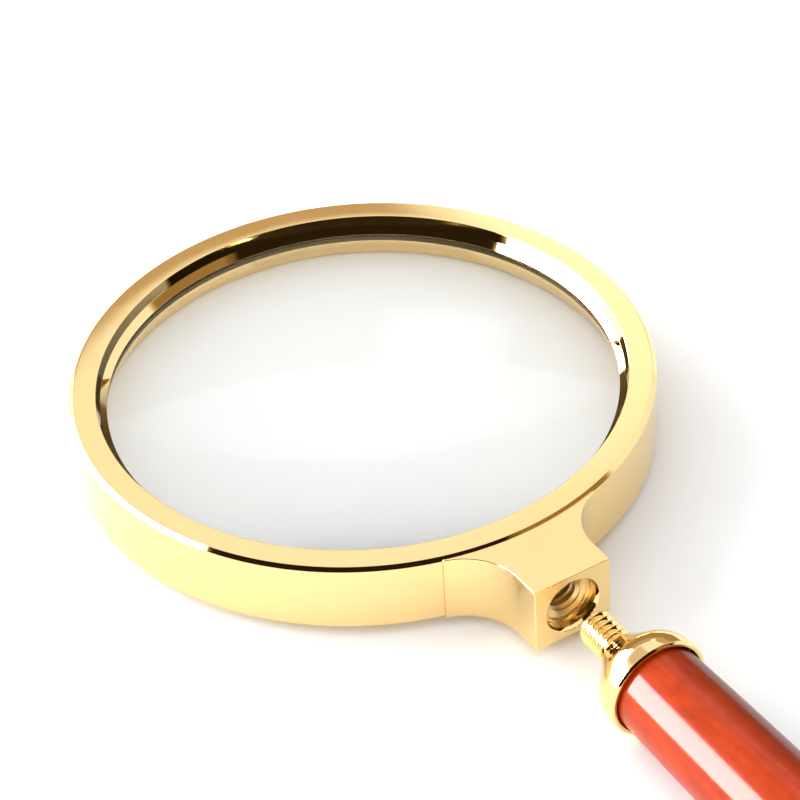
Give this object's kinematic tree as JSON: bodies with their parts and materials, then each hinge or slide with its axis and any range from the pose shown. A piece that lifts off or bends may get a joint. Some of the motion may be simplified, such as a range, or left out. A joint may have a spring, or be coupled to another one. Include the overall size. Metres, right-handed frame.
{
  "type": "magnifying glass",
  "caption": "Round framed magnifying lens with a square threaded neck and a turned wooden handle that screws on by a brass stud.",
  "frame": {"origin": "on the resting surface, under the middle of the whole length at rest (handle unscrewed)", "axes": "+Y along the handle's axis towards the glass, +Z along the glass's axis, up out of its front bezel"},
  "size_m": [0.1, 0.2342, 0.0174],
  "materials": {
    "gold_plate": "mirror-polished, gold plated",
    "rosewood": "high-gloss red-brown lacquer",
    "optical_glass": "polished, clear",
    "fibre": "matt",
    "steel": "bright turned"
  },
  "bodies": {
    "head": {"frame_ring": "gold_plate", "front_bezel": "gold_plate", "lens": "optical_glass", "lens_gasket": "fibre", "neck_block": "gold_plate"},
    "collar": {"ferrule": "gold_plate"},
    "handle": {"threaded_stud": "gold_plate", "grip": "rosewood", "grip_insert": "gold_plate", "end_cap": "gold_plate", "cap_stud": "steel"}
  },
  "joints": [
    {"name": "handle_draw", "type": "slide", "parent": "head", "child": "collar", "axis": [0, -1, 0], "range_m": [-0.01359, 0]},
    {"name": "handle_turn", "type": "hinge", "parent": "collar", "child": "handle", "pos_m": [0, -0.0013, 0.0087], "axis": [0, -1, 0], "range_deg": [-3853, 0]}
  ],
  "couplings": [
    {"joint": "handle_turn", "follows": "handle_draw", "rad_per_m": 4947.4}
  ]
}
